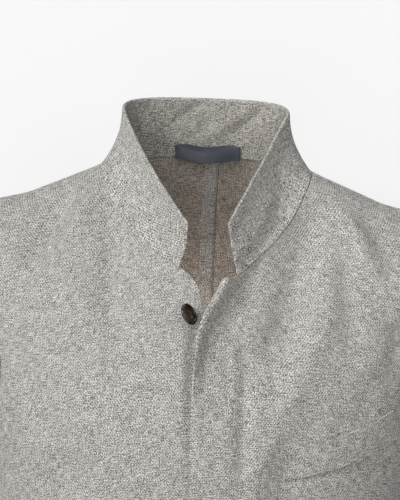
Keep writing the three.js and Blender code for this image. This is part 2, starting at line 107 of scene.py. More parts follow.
def clothMaterial(name, angle, tint="#ffffff", shade=1.0, crisp=1.0):
    material, tree, out = newMaterial(name)
    place = addNode(tree, "UVMap", {"uv_map": "cloth"})
    inMm = addNode(tree, "VectorMath", {"operation": "SCALE"}, _0=place.outputs[0], Scale=1000.0)
    diagonal = addNode(tree, "VectorRotate", {"rotation_type": "Z_AXIS"}, Vector=inMm.outputs[0],
                       Angle=-math.radians(angle))  # x along the diagonal, y across it

    def streaks(vector, size, detail):
        scaled = addNode(tree, "VectorMath", {"operation": "MULTIPLY"}, _0=vector,
                         _1=(1 / size[0], 1 / size[1], 1))
        return addNode(tree, "TexNoise", {"noise_dimensions": "2D"}, Vector=scaled.outputs[0],
                       Scale=1.0, Detail=detail, Roughness=0.6).outputs[0]

    def weigh(value, factor, onTop):
        return addNode(tree, "Math", {"operation": "MULTIPLY_ADD"}, _0=value, _1=factor,
                       _2=onTop).outputs[0]

    yarn = (cloth["yarnLength"], cloth["yarnWidth"])
    layers = [  # streaks, and their share of the tone
        (streaks(diagonal.outputs[0], yarn, 1.0), 1.0),
        (streaks(inMm.outputs[0], cloth["slub"], 1.0), 0.35),
        (streaks(inMm.outputs[0], cloth["warp"], 1.0), 0.25),
        (streaks(inMm.outputs[0], cloth["cloud"], 3.0), 0.1),
    ]
    twill = addNode(tree, "TexWave", {"wave_type": "BANDS", "bands_direction": "Y"},
                    Vector=diagonal.outputs[0], Scale=math.pi / 10 / cloth["twillPitch"], Distortion=0.7,
                    Detail=2.0, Detail_Scale=1.4).outputs[1]
    gain = cloth["contrast"] * crisp
    signal = 0.5 - sum(share for _, share in layers) * 0.5 * gain - cloth["twillStrength"] * 0.5
    for layer, share in layers:
        signal = weigh(layer, share * gain, signal)
    signal = weigh(twill, cloth["twillStrength"], signal)
    fibres = addNode(tree, "ValToRGB", None, Fac=signal)
    ends = fibres.color_ramp.elements
    ends[0].position, ends[0].color = cloth["toneRange"][0], linear(cloth["deep"])
    ends[1].position, ends[1].color = cloth["toneRange"][1], linear(cloth["pale"])
    ends.new(0.5).color = linear(cloth["middle"])
    toned = [c * shade for c in linear(tint)[:3]]
    colour = addNode(tree, "VectorMath", {"operation": "MULTIPLY"}, _0=fibres.outputs[0], _1=toned)
    relief = addNode(tree, "Bump", None, Strength=cloth["bump"], Distance=0.0005, Height=signal)
    shader = addNode(tree, "BsdfPrincipled", None, Base_Color=colour.outputs[0], Roughness=0.95,
                     Normal=relief.outputs[0], Sheen_Weight=0.12, Sheen_Roughness=0.5,
                     Specular_IOR_Level=0.15)
    tree.links.new(shader.outputs[0], out.inputs[0])
    return material


twill, reverse = cloth["twillAngle"], (cloth["reverseTint"], cloth["reverseShade"])
woolFace = clothMaterial("wool twill face", twill)  # speckled pale grey with a fine diagonal
woolMirrored = clothMaterial("wool twill on the right front", -twill)  # the same, laid the other way
woolTurned = clothMaterial("wool twill on the collar", cloth["collarAngle"], crisp=1.35)  # a flatter diagonal
woolShadedInside = clothMaterial("wool twill facing in painted shade", twill, "#fffdf9", 0.84, 1.9)  # painted shade: darker for the inside of the collar and the neck tape, with a crisper weave
woolReverse = clothMaterial("wool twill reverse", -twill, *reverse, 1.4)  # duller and a little browner
woolPressed = clothMaterial("wool twill seam allowance", twill, "#fff8ee", 0.84, 1.4)  # pressed flat, dull
print("cloth made")

# Body surface, the same rings as the part
bodyRings = {  # hem, hips, waist, ribs, underarm, middle of armhole, shoulder, middle of shoulder, neck
    "halfWidth": [205, 202, 187, 190, 196, 206, 224, 158, 98],
    "sideY": [-84, -84, -86, -85, -84, -82, -74, -68, -62],
    "frontY": [-213, -213, -210, -215, -219, -212, -190, -171, -152],
    "backY": [46, 43, 24, 34, 43, 47, 34, 16, 0],
    "sideZ": [-722, -620, -450, -350, -258, -160, -58, -29, -5],
    "frontZ": [-726, -622, -450, -350, -268, -208, -152, -120, -91],
    "backZ": [-720, -620, -450, -350, -256, -166, -84, -40, 0],
    "frontSquare": [2.3, 2.3, 2.25, 2.35, 2.4, 2.3, 1.72, 1.75, 1.8],
    "backSquare": [2.3, 2.3, 2.25, 2.3, 2.4, 2.4, 1.95, 2.0, 2.4],
    "seamShift": [0, 0, 0, 0, 3, 5.5, 8.3, 9.9, 12.6],  # the centre back seam hangs a little to the left
}
slant = 0.035  # how far the shoulders drop towards the wearer's left, as a share of x
underarmRow, shoulderRow, neckRow = 4, 6, 8
seamAngle, armholeFront, armholeBack = (math.radians(v) for v in (94, 24, 20))
frontInner, backInner = math.radians(60), math.radians(126)
opening = {  # where the two centre lines are at each height
    "z": [-726, -300, -220, -180, -146, -120, -104, -92],
    "left": [-2, -1, 0, 2, 5.5, 13.5, 20.5, 27.5],
    "right": [0, 0, -3, -7, -11, -16, -20, -24],
}
fronts = {
    "extension": (14, 10),  # past the centre line, below and at the open top
    "narrowing": (-165, -115),  # heights between which it changes
    "topCorner": {"left": (11, 4), "right": (1.5, 15)},  # what is left at the very top, and the corner's radius
    "lapLift": 6.2,
    "lapFade": (24, 78),  # x where the lap starts to lie down and where it is flat
    "leftRoll": ((13, 9), (8, 40)),  # height at the edge and reach of each wave of the open front's roll
    "leftRollRise": (-230, -110),  # heights where the roll starts and where it is full
    "rightRoll": 3,
    "rightRollRise": (-230, -100),
    "rightRollFade": (12, 46),
    "leftSag": 16,
    "sagFade": (0.1, 0.7),  # radians from the middle of the front
    "curl": 6,
    "curlWidth": 6,
    "curlRise": (-175, -115),
    "thickness": 2.0,
}
frontFade, backFade = (-110, -72), (-70, -30)  # y where the front's creases end and the back's begin
bodyRipple, sleeveRipple, collarRipple = ((30, 110), 0.5), ((30, 100), 0.5), ((18, 60), 0.2)  # waves, height
creaseStart, creaseEnd = (-0.1, 0.3), (0.6, 1.1)  # shares of its path where a crease comes and goes
shoulderSlope = {"front": 190, "back": 40, "rise": 0.45, "heights": (-220, -110)}  # for the weave's lines


def rowCurve(values, at):
    values = np.asarray(values, float)
    last = len(values) - 1
    row = np.clip(np.floor(at).astype(int), 0, last - 1)
    t = at - row
    before, start = values[np.maximum(row - 1, 0)], values[row]
    end, after = values[row + 1], values[np.minimum(row + 2, last)]
    slopeStart = np.where(row == 0, end - start, (end - before) / 2)
    slopeEnd = np.where(row == last - 1, end - start, (after - start) / 2)
    return ((2 * t**3 - 3 * t**2 + 1) * start + (t**3 - 2 * t**2 + t) * slopeStart
            + (3 * t**2 - 2 * t**3) * end + (t**3 - t**2) * slopeEnd)


def ringPoints(ring, angle, drop):
    cos = np.cos(angle)
    front = cos >= 0
    depth = np.where(front, ring["sideY"] - ring["frontY"], ring["backY"] - ring["sideY"])
    square = np.where(front, ring["frontSquare"], ring["backSquare"])
    forth, aside = np.abs(cos / depth), np.abs(np.sin(angle) / ring["halfWidth"])
    radius = (forth**square + aside**square) ** (-1 / square)
    reach = np.abs(radius * cos) / depth
    endZ = np.where(front, ring["frontZ"], ring["backZ"])
    return np.stack([radius * np.sin(angle), ring["sideY"] - radius * cos,
                     ring["sideZ"] + (endZ - ring["sideZ"]) * reach**drop], -1)


def bareBody(at, angle):
    at, angle = np.broadcast_arrays(np.asarray(at, float), np.asarray(angle, float))
    points = ringPoints({k: rowCurve(v, at) for k, v in bodyRings.items()}, angle, drop=1.4)
    points[..., 2] -= slant * points[..., 0] * smooth(at, 3, 7)
    return points


def unit(vectors):
    return vectors / np.maximum(np.linalg.norm(vectors, axis=-1, keepdims=True), 1e-9)


def normalOf(surface, u, v, step=1e-3):
    return unit(np.cross(surface(u, v + step) - surface(u, v - step),
                         surface(u + step, v) - surface(u - step, v)))


def creaseHeight(flat, creases):  # soft ridges and troughs along short paths
    total = np.zeros(flat.shape[:-1])
    for path, near, height, *far in creases:  # far is the width on the left, where it isn't the same
        path = np.asarray(path, float)
        lengths = np.linalg.norm(np.diff(path, axis=0), axis=1)
        starts = np.concatenate([[0], np.cumsum(lengths)])
        best, share, width = np.full(total.shape, 1e9), np.zeros(total.shape), np.ones(total.shape)
        for k in range(len(lengths)):
            run = (path[k + 1] - path[k]) / lengths[k]
            offset = flat - path[k]
            along = np.clip(offset @ run, 0, lengths[k])
            away = np.linalg.norm(offset - along[..., None] * run, axis=-1)
            nearer = away < best
            onLeft = run[0] * offset[..., 1] > run[1] * offset[..., 0]
            width = np.where(nearer, np.where(onLeft, far[0] if far else near, near), width)
            best = np.where(nearer, away, best)
            share = np.where(nearer, (starts[k] + along) / starts[-1], share)
        fade = smooth(share, *creaseStart) * (1 - smooth(share, *creaseEnd))
        total += height * fade * np.exp(-((best / width) ** 2))
    return total


def ripple(flat, seed, waves, size):  # faint unevenness of hanging cloth
    rng = np.random.default_rng(seed)
    height = np.zeros(flat.shape[:-1])
    for wave in np.geomspace(waves[0], waves[1], 9):
        for _ in range(2):
            turn, phase = rng.uniform(0, 2 * math.pi, 2)
            along = flat[..., 0] * math.cos(turn) + flat[..., 1] * math.sin(turn)
            height += np.sin(along * 2 * math.pi / wave + phase) * wave / waves[1]
    return height * size / 4


creases = {  # a path in x and z as seen from the front, the width, and the height above the bare surface
    "left": [  # the wearer's left front and that half of the collar
        ([(78, 30), (64, 12), (59, -8), (56, -24), (52, -38), (46, -51), (36, -66), (24, -84)], 9, 2.4),
        ([(90, -32), (77, -50), (62, -65), (41, -84), (26, -97), (15, -112), (8, -126), (3, -142),
          (0, -165), (-2, -195)], 8, -12, 36),
        ([(106, 0), (102, -22), (98, -45), (92, -75), (83, -106), (69, -136), (50, -160),
          (28, -190)], 21, -12),
        ([(112, -22), (112, -60), (109, -88), (103, -116), (98, -142), (90, -164), (78, -188), (62, -218),
          (48, -250), (38, -290)], 13, 3.4),
        ([(114, -22), (119, -52), (125, -84), (128, -112), (129, -142), (131, -175)], 10, -3.6),
        ([(178, -80), (180, -110), (176, -140)], 14, 6),
        ([(116, -22), (138, -60), (150, -86), (160, -112)], 9, 4),
        ([(132, -26), (160, -66), (176, -92)], 9, -2.4),
        ([(176, -112), (173, -140), (166, -170), (156, -200)], 9, -2.4),
        ([(150, -172), (143, -196), (136, -226)], 10, -1.6),
        ([(32, -136), (33, -170), (33, -205), (31, -250), (30, -300)], 8, -4.5),
        ([(17, -150), (18, -172), (18, -196)], 5, -1.4),
        ([(76, -236), (66, -270), (60, -300)], 13, -2.5),
        ([(240, -235), (212, -290), (190, -335), (172, -370)], 26, -9),
        ([(80, -280), (62, -420)], 24, -4),
        ([(118, -380), (110, -600)], 30, -5),
        ([(40, -470), (110, -440), (170, -452)], 13, -2.5),
        ([(60, -640), (52, -720)], 26, 4),
    ],
    "right": [
        ([(-100, -4), (-104, -16), (-113, -34), (-124, -66)], 10, 6),
        ([(-116, -16), (-126, -30), (-141, -54), (-156, -78), (-172, -108)], 11, -7),
        ([(-80, -8), (-84, -65), (-87, -110), (-84, -160)], 13, -6),
        ([(3, -98), (-1, -116), (-9, -144), (-11, -170), (-12, -193), (-13, -240)], 8, -4),
        ([(-172, -150), (-140, -215), (-112, -270)], 15, -4),
        ([(-112, -240), (-133, -280), (-150, -330)], 20, -7),
        ([(-70, -290), (-66, -430)], 28, -4),
        ([(-122, -390), (-114, -620)], 30, -5),
        ([(-50, -455), (-120, -436), (-172, -446)], 12, -2.5),
        ([(-60, -610), (-56, -720)], 24, 3.5),
    ],
    "back": [
        ([(60, -210), (120, -330)], 22, -5),
        ([(-55, -230), (-125, -340)], 20, -4),
        ([(90, -420), (80, -660)], 30, -5),
        ([(-95, -440), (-88, -650)], 30, -5),
        ([(150, -120), (140, -190), (152, -260)], 14, -3.5),
        ([(-150, -130), (-143, -200), (-150, -250)], 13, -3),
        ([(24, -440), (100, -420), (165, -436)], 13, -2.5),
        ([(-20, -462), (-90, -446), (-160, -458)], 12, -2.5),
        ([(70, -30), (110, -60), (150, -75)], 14, -2.5),
        ([(-66, -26), (-112, -58), (-156, -74)], 13, -2.5),
        ([(40, -620), (36, -716)], 24, 3.5),
        ([(-44, -600), (-40, -716)], 26, 3),
    ],
    "neck": [  # back of the collar, where below 0 comes towards the neck
        ([(-5, 16), (7, 24), (42, 46), (51, 54)], 6, -2),
        ([(-30, 34), (-18, 43), (7, 58)], 5, 2),
        ([(22, 20), (34, 29), (66, 56)], 6, 2),
        ([(-60, 18), (-40, 40)], 7, -1.6),
        ([(52, 20), (70, 44)], 7, -1.6),
    ],
}


def centreLine(isLeft, z):
    return np.interp(z, opening["z"], opening["left" if isLeft else "right"])


def bodySurface(side):
    def surface(at, angle):
        at, angle = np.broadcast_arrays(np.asarray(at, float), np.asarray(angle, float))
        points = bareBody(at, side * angle)
        normals = normalOf(bareBody, at, side * angle)
        x, y, z = (points[..., k] for k in range(3))
        fromCentre = (x - centreLine(side > 0, z)) * side
        if side > 0:
            lap = fronts["lapLift"] * (1 - smooth(x, *fronts["lapFade"]))
            past = fromCentre + lerp(*fronts["extension"], smooth(z, *fronts["narrowing"]))
            away = (past + np.sqrt(past**2 + 6)) / 2
            roll = sum(height * np.exp(-away / reach) for height, reach in fronts["leftRoll"])
            lift = lap + roll * smooth(z, *fronts["leftRollRise"])
        else:
            fade = 1 - smooth(fromCentre, *fronts["rightRollFade"])
            lift = fronts["rightRoll"] * smooth(z, *fronts["rightRollRise"]) * fade
        lift = lift * (y < -100)  # lap and rolls belong to the front alone
        flat = np.stack([x, z], -1)
        ahead = creaseHeight(flat, creases["left" if side > 0 else "right"]) + ripple(flat, 3, *bodyRipple)
        behind = creaseHeight(flat, creases["back"]) + ripple(flat, 4, *bodyRipple)
        lift = lift + (1 - smooth(y, *frontFade)) * ahead
        lift = lift + smooth(y, *backFade) * behind
        points = points + normals * lift[..., None]
        if side > 0:
            nearFront = 1 - smooth(np.abs(angle), *fronts["sagFade"])
            points[..., 2] -= fronts["leftSag"] * smooth(at, shoulderRow, neckRow) * nearFront
        return points
    return surface


def armholeRow(turn):
    return underarmRow + (shoulderRow - underarmRow) * lerp((1 - np.cos(turn)) / 2, turn / math.pi, 0.3)


# Sheets: a grid of points becomes a thin shell with rounded edges
def withEdgeLines(fields, axis, radius):  # adds lines close to both borders so that the edge can be rounded
    shares = (0.05, 0.2, 0.5, 1.0)
    points = fields[0]
    first = np.take(points, [0, 1], axis)
    last = np.take(points, [-1, -2], axis)
    out = []
    for field in fields:
        pieces = []
        for ends, seen, flip in ((first, [0, 1], False), (last, [-1, -2], True)):
            gap = np.linalg.norm(np.take(ends, 1, axis) - np.take(ends, 0, axis), axis=-1)
            a, b = np.take(field, seen[0], axis), np.take(field, seen[1], axis)
            step = np.clip(radius / np.maximum(gap, 1e-6), 0, 0.9)
            lines = [a] + [a + (b - a) * (step * s)[..., None] for s in shares]
            pieces.append(np.stack(lines[::-1] if flip else lines, axis))
        inner = np.take(field, range(1, field.shape[axis] - 1), axis)
        out.append(np.concatenate([pieces[0], inner, pieces[1]], axis))
    rise = [0.0] + [math.sqrt(1 - (1 - s) ** 2) for s in shares]
    factor = np.array(rise + [1.0] * (points.shape[axis] - 2) + rise[::-1])
    return out, factor


def gridNormals(points):
    return unit(np.cross(np.gradient(points, axis=1), np.gradient(points, axis=0)))


def clothCoordinates(points):  # arc lengths across and up, in metres
    across = np.cumsum(np.linalg.norm(np.diff(points, axis=1), axis=-1), axis=1)
    across = np.concatenate([np.zeros((points.shape[0], 1)), across], 1)
    up = np.cumsum(np.linalg.norm(np.diff(points, axis=0), axis=-1), axis=0).mean(1, keepdims=True)
    return np.stack([across, np.concatenate([[[0]], up]) + 0 * across], -1) / 1000


def levelCoordinates(points, side, isFront):  # for the body, where the weft runs level
    across = np.cumsum(np.linalg.norm(np.diff(points[..., :2], axis=1), axis=-1), axis=1)
    across = np.concatenate([np.zeros((points.shape[0], 1)), across], 1) + points[:, :1, 0] * side
    y, z = points[..., 1], points[..., 2]
    toSeam = np.maximum(y + shoulderSlope["front"] if isFront else shoulderSlope["back"] - y, 0)
    up = z + shoulderSlope["rise"] * toSeam * smooth(z, *shoulderSlope["heights"])
    return np.stack([across, up], -1) / 1000


def makeObject(name, verts, faces, uvs, materials, faceMaterials):
    faces = [np.asarray(group, np.int32) for group in faces]  # one group for each number of corners
    corner = np.concatenate([group.ravel() for group in faces])
    counts = np.concatenate([np.full(len(group), group.shape[1], np.int32) for group in faces])
    mesh = bpy.data.meshes.new(name)
    mesh.vertices.add(len(verts))
    mesh.vertices.foreach_set("co", (np.asarray(verts) / 1000).astype(np.float32).ravel())
    mesh.loops.add(len(corner))
    mesh.loops.foreach_set("vertex_index", corner)
    mesh.polygons.add(len(counts))
    mesh.polygons.foreach_set("loop_start", np.concatenate([[0], np.cumsum(counts)[:-1]]).astype(np.int32))
    layer = mesh.uv_layers.new(name="cloth")
    layer.uv.foreach_set("vector", np.asarray(uvs)[corner].astype(np.float32).ravel())
    for material in materials:
        mesh.materials.append(material)
    mesh.polygons.foreach_set("material_index", np.asarray(faceMaterials, np.int32))
    mesh.polygons.foreach_set("use_smooth", np.ones(len(counts), bool))
    mesh.update(calc_edges=True)
    obj = addObject(name, mesh)
    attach(obj, "root")
    return obj


def sheetObject(name, points, thickness, outwardSign, materials=None, radius=None, uv=None):
    materials = materials or [woolFace, woolReverse]
    radius = radius or thickness * 0.55
    normals = gridNormals(points) * outwardSign
    uv = clothCoordinates(points) if uv is None else uv
    uv = uv * np.array([outwardSign, 1])  # so that the diagonal leans the same way on every piece
    (points, normals, uv), rowFactor = withEdgeLines([points, normals, uv], 0, radius)
    (points, normals, uv), columnFactor = withEdgeLines([points, normals, uv], 1, radius)
    factor = np.minimum(rowFactor[:, None], columnFactor[None, :])
    half = (thickness / 2 * factor)[..., None] * unit(normals)
    rows, columns = factor.shape
    outer = np.arange(rows * columns).reshape(rows, columns)
    onBorder = factor <= 0
    inner = np.where(onBorder, outer, 0)
    inner[~onBorder] = rows * columns + np.arange((~onBorder).sum())
    verts = np.concatenate([(points + half).reshape(-1, 3), (points - half)[~onBorder]])
    uvs = np.concatenate([uv.reshape(-1, 2), uv[~onBorder]])

    def quads(index, reverse):
        a, b, c, d = index[:-1, :-1], index[:-1, 1:], index[1:, 1:], index[1:, :-1]
        order = [a, d, c, b] if reverse else [a, b, c, d]
        return np.stack([q.ravel() for q in order], 1)

    # the grid's own turning sense: across x up points along the computed normal times the sign
    outerFaces = quads(outer, outwardSign < 0)
    innerFaces = quads(inner, outwardSign > 0)
    faces = [np.concatenate([outerFaces, innerFaces])]
    kinds = np.concatenate([np.zeros(len(outerFaces)), np.ones(len(innerFaces))])
    return makeObject(name, verts, faces, uvs, materials, kinds)


# Body panels
def columnAngle(column, centreEnd, innerAngle, sideEnd):
    return np.where(column > 1, lerp(innerAngle, sideEnd, column - 1),
                    lerp(centreEnd, innerAngle, np.clip(column, 0, 1)))


def frontAngle(at, isLeft, past):
    ring = {k: rowCurve(bodyRings[k], at) for k in ("sideY", "frontY")}
    z = bareBody(at, 0.0)[..., 2]
    square, radius = fronts["topCorner"]["left" if isLeft else "right"]
    fromTop = bareBody(np.array(float(neckRow)), 0.0)[2] - z
    rounded = np.sqrt(1 - (1 - np.clip(fromTop / radius, 0, 1)) ** 2)
    extension = square + (fronts["extension"][0] - square) * rounded
    x = centreLine(isLeft, z) * (1 if isLeft else -1) - extension * past
    return np.arcsin(x / (ring["sideY"] - ring["frontY"]))


turns = np.linspace(0, math.pi, 64)
bodyAt = np.concatenate([np.linspace(0, underarmRow, 96)[:-1], armholeRow(turns), np.linspace(6.04, 8, 70)])
bodyTurn = np.concatenate([np.zeros(95), turns, np.zeros(70)])
frontColumns = np.concatenate([np.linspace(-1, 0, 14)[:-1], np.linspace(0, 1, 76), np.linspace(1, 2, 34)[1:]])
backColumns = np.concatenate([np.linspace(0, 1, 50), np.linspace(1, 2, 32)[1:]])
seamTrim = 0.06  # mm held back at each side of a seam


def backSeam(at, side, inward):  # the angle of the centre back seam, or of a line this far inside the panel
    depth = rowCurve(bodyRings["backY"], at) - rowCurve(bodyRings["sideY"], at)
    return math.pi - (side * rowCurve(bodyRings["seamShift"], at) + inward) / depth


def panelPoints(side, isFront):
    surface = bodySurface(side)
    columns = frontColumns if isFront else backColumns
    at, column = np.meshgrid(bodyAt, columns, indexing="ij")
    turn = np.broadcast_to(bodyTurn[:, None], at.shape)
    trim = seamTrim / rowCurve(bodyRings["halfWidth"], at)
    cut = -armholeFront if isFront else armholeBack
    sideEnd = seamAngle + cut * np.sin(turn) + (-trim if isFront else trim)
    if isFront:
        centreEnd = frontAngle(at, side > 0, np.clip(-column, 0, 1))
    else:
        centreEnd = backSeam(at, side, seamTrim)
    inner = frontInner if isFront else backInner
    points = surface(at, columnAngle(column, centreEnd, inner, sideEnd))
    if isFront and side > 0:  # the lapped edge curls back into the opening
        fromEdge = (np.minimum(column, 0) + 1) * fronts["extension"][0] / fronts["curlWidth"]
        curl = fronts["curl"] * smooth(points[..., 2], *fronts["curlRise"])
        points[..., 1] += curl * (1 - np.clip(fromEdge, 0, 1)) ** 2
    return points


for side, name in ((1, "left"), (-1, "right")):
    for isFront, part in ((True, "front"), (False, "back")):
        points = panelPoints(side, isFront)
        sign = (1 if isFront else -1) * side
        face = woolMirrored if isFront and side < 0 else woolFace
        uv = levelCoordinates(points, side, isFront)
        obj = sheetObject(f"{part}_{name}_cloth", points, fronts["thickness"], sign,
                          materials=[face, woolReverse], radius=0.7, uv=uv)
        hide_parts(f"{part}_{name}")
print("fronts and backs made")

# Sleeves
sleeveRings = {  # below the armhole, down to the cuff
    "x": [256, 262, 268, 276, 286],
    "y": [-80, -80, -86, -100, -124],
    "z": [-290, -360, -440, -550, -668],
    "across": [53, 50, 47, 43, 38],
    "deep": [66, 60, 56, 51, 46],
}
sleeveCreases = [  # height, angle round the arm and its spread in degrees, width, height above the sleeve
    (-395, 60, 45, 12, -5),
    (-425, 70, 50, 11, 4),
    (-452, 50, 40, 12, -4),
    (-500, 100, 50, 16, -3),
    (-330, 290, 50, 18, -4),
    (-600, 220, 60, 16, -3),
    (-545, 80, 42, 10, 2.5),
    (-370, 100, 35, 9, 2.5),
    (-640, 300, 60, 12, 2),
]
otherSleeve = (12, 9)  # degrees and mm that the creases on the wearer's right are moved, so that they differ
sleeveCap = {"bend": 44, "bendChange": 46, "leave": 0.26, "arrive": 0.42}  # degrees, then shares of the reach
sleeveCloth = {"thickness": 2.0, "length": 0.62, "top": (0.25, 0.13), "under": (0.14, 0.052)}  # width, area
foreSeam, hindSeam = math.radians(60), math.radians(-60)


def armholeEdge(side, turn):
    turn = np.mod(turn, 2 * math.pi)
    half = np.where(turn <= math.pi, turn, 2 * math.pi - turn)
    cut = np.where(turn <= math.pi, -armholeFront, armholeBack)
    at, angle = armholeRow(half), seamAngle + cut * np.sin(half)
    surface = bodySurface(side)
    return surface(at, angle), normalOf(surface, at, angle) * side


def sleeveTube(side, at, turn):
    centre = np.stack([side * rowCurve(sleeveRings["x"], at), rowCurve(sleeveRings["y"], at),
                       rowCurve(sleeveRings["z"], at)], -1)
    ahead, behind = (np.stack([side * rowCurve(sleeveRings["x"], at + s), rowCurve(sleeveRings["y"], at + s),
                               rowCurve(sleeveRings["z"], at + s)], -1) for s in (0.01, -0.01))
    down = unit(ahead - behind)
    forward = unit(np.array([0, -1.0, 0]) + down * down[..., 1:2])
    outer = np.cross(forward, down)
    outer = unit(outer * np.sign(outer[..., 0:1] * side))
    swell = np.zeros(at.shape)
    moreAngle, moreZ = (0, 0) if side > 0 else otherSleeve
    for z, angle, spread, width, height in sleeveCreases:
        away = np.mod(np.degrees(turn) - (angle + moreAngle) + 180, 360) - 180
        off = (centre[..., 2] - z - away * 0.25 - moreZ) / width  # creases run aslant round the arm
        swell += height * np.exp(-(off**2) - (away / spread) ** 2)
    flat = np.stack([np.sin(turn) * 60 + np.cos(turn) * 25, centre[..., 2]], -1)
    swell += ripple(flat, 6 + side, *sleeveRipple)
    across = (rowCurve(sleeveRings["across"], at) + swell) * -np.cos(turn)
    deep = (rowCurve(sleeveRings["deep"], at) + swell) * np.sin(turn)
    return centre + outer * across[..., None] + forward * deep[..., None], down


def sleevePoints(side, at, turn):
    ring = turn[0]  # one row of turns is enough for what depends on the turn alone
    edge, normal = armholeEdge(side, ring)
    along = unit(armholeEdge(side, ring + 1e-3)[0] - armholeEdge(side, ring - 1e-3)[0])
    away = np.cross(along, normal) * side
    bend = np.radians(sleeveCap["bend"] + sleeveCap["bendChange"] * np.cos(ring))[..., None]
    leave = unit(away * np.cos(bend) + normal * np.sin(bend))
    start = edge + leave * (0.1 + fronts["thickness"] / 2 * np.abs(np.sin(bend)))
    end, down = sleeveTube(side, np.zeros_like(ring), ring)
    reach = np.linalg.norm(end - start, axis=-1, keepdims=True)
    near, far = start + leave * reach * sleeveCap["leave"], end - down * reach * sleeveCap["arrive"]
    t = np.clip(at, 0, 1)[..., None]
    cap = (1 - t) ** 3 * start + 3 * t * (1 - t) ** 2 * near + 3 * t * t * (1 - t) * far + t**3 * end
    tube, _ = sleeveTube(side, np.clip(at - 1, 0, 4), turn)
    return np.where((at < 1)[..., None], cap, tube)


sleeveAt = np.concatenate([np.linspace(0, 1, 50) ** 1.4, np.linspace(1.04, 5, 110)])
sleeveParts = (("top", foreSeam, 2 * math.pi + hindSeam, 96), ("under", hindSeam, foreSeam, 52))
for side, name in ((1, "left"), (-1, "right")):
    for part, start, end, count in sleeveParts:
        at, turn = np.meshgrid(sleeveAt, np.linspace(start + 0.0015, end - 0.0015, count), indexing="ij")
        points = sleevePoints(side, at, turn)
        obj = sheetObject(f"sleeve_{name}_{part}_cloth", points, sleeveCloth["thickness"], -side)
        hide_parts(f"sleeve_{name}_{part}")
print("sleeves made")

# Collar, its facing and the neck tape
collar = {
    "halfLength": 235,
    "flare": 2.2,
    "endFlare": {"left": 1.3, "right": 2.2},  # the open end on the wearer's left stands straighter
    "endFlareFade": (0.72, 0.95),
    "thickness": 1.6,
    "layerGap": 0.3,
    "facing": 1.2,
    "lowerEdge": 0.205,  # where the facing's folded edge ends at the back, as a share of the height
    "lowerEdgeAhead": 0.06,  # and towards the front
    "lowerEdgeFade": (0.45, 0.76),  # how far along it changes, where the open end is at 1
    "topRound": 0.035,
    "foldRound": 0.012,
    "endRound": 0.0065,
    "seamGap": {"left": 0.1, "right": -0.25},  # the seam on the wearer's left lies a little open
    "top": {"halfWidth": 77, "sideY": -52, "backY": -4, "sideZ": 50, "backZ": 57, "backSquare": 3},
    "left": {"frontY": -182, "frontZ": -77, "frontSquare": 1},
    "right": {"frontY": -181, "frontZ": -57, "frontSquare": 1.17},
    "endAngle": {"left": math.radians(12.1), "right": math.radians(8.8)},
}


def collarPoints(up, along):  # up is a grid, along one row of it
    result = np.zeros(up.shape + (3,))
    for side, half in ((1, "left"), (-1, "right")):
        mine = (along >= 0) if side > 0 else (along < 0)
        if not mine.any():
            continue
        share = np.abs(along[mine])
        base = lerp(math.pi, frontAngle(np.array(float(neckRow)), side > 0, 0.0), share)
        ring = {**collar["top"], **collar[half]}
        top = ringPoints(ring, side * lerp(math.pi, collar["endAngle"][half], share), drop=1)
        top[..., 2] -= slant * top[..., 0]
        surface = bodySurface(side)
        at = np.full(share.shape, float(neckRow))
        seam = surface(at, base)
        flare = lerp(collar["flare"], collar["endFlare"][half], smooth(share, *collar["endFlareFade"]))
        leave = unit((top - seam) * np.stack([flare, flare, np.ones_like(flare)], -1))
        tilt = np.abs((leave * normalOf(surface, at, base)).sum(-1, keepdims=True))
        seam = seam + leave * (collar["seamGap"][half] + fronts["thickness"] / 2 * tilt)
        rise = up[:, mine]
        sweep = (1 - np.clip(rise, 0, 1)) ** flare
        result[:, mine] = np.stack([lerp(top[..., 0], seam[..., 0], sweep),
                                    lerp(top[..., 1], seam[..., 1], sweep),
                                    lerp(seam[..., 2], top[..., 2], rise)], -1)
    return result


def lowerEdge(along):
    return lerp(collar["lowerEdge"], collar["lowerEdgeAhead"], smooth(np.abs(along), *collar["lowerEdgeFade"]))


def collarFrame(ups, alongs):  # points and outward normals, creases included
    ups = ups + 0 * alongs
    step = 2e-3
    rise = collarPoints(np.minimum(ups + step, 1), alongs) - collarPoints(np.maximum(ups - step, 0), alongs)
    run = collarPoints(ups, np.minimum(alongs + step, 1)) - collarPoints(ups, np.maximum(alongs - step, -1))
    normal = unit(np.cross(rise, run))
    points = collarPoints(ups, alongs)
    flat = points[..., [0, 2]]
    height = creaseHeight(flat, creases["neck"]) * smooth(points[..., 1], -60, -30)
    for half, mine in (("left", alongs >= 0), ("right", alongs < 0)):
        height = height + creaseHeight(flat, creases[half]) * (1 - smooth(points[..., 1], -100, -60)) * mine
    height = height + ripple(flat, 11, *collarRipple)
    return points + normal * (height * smooth(ups, 0, 0.3))[..., None], normal


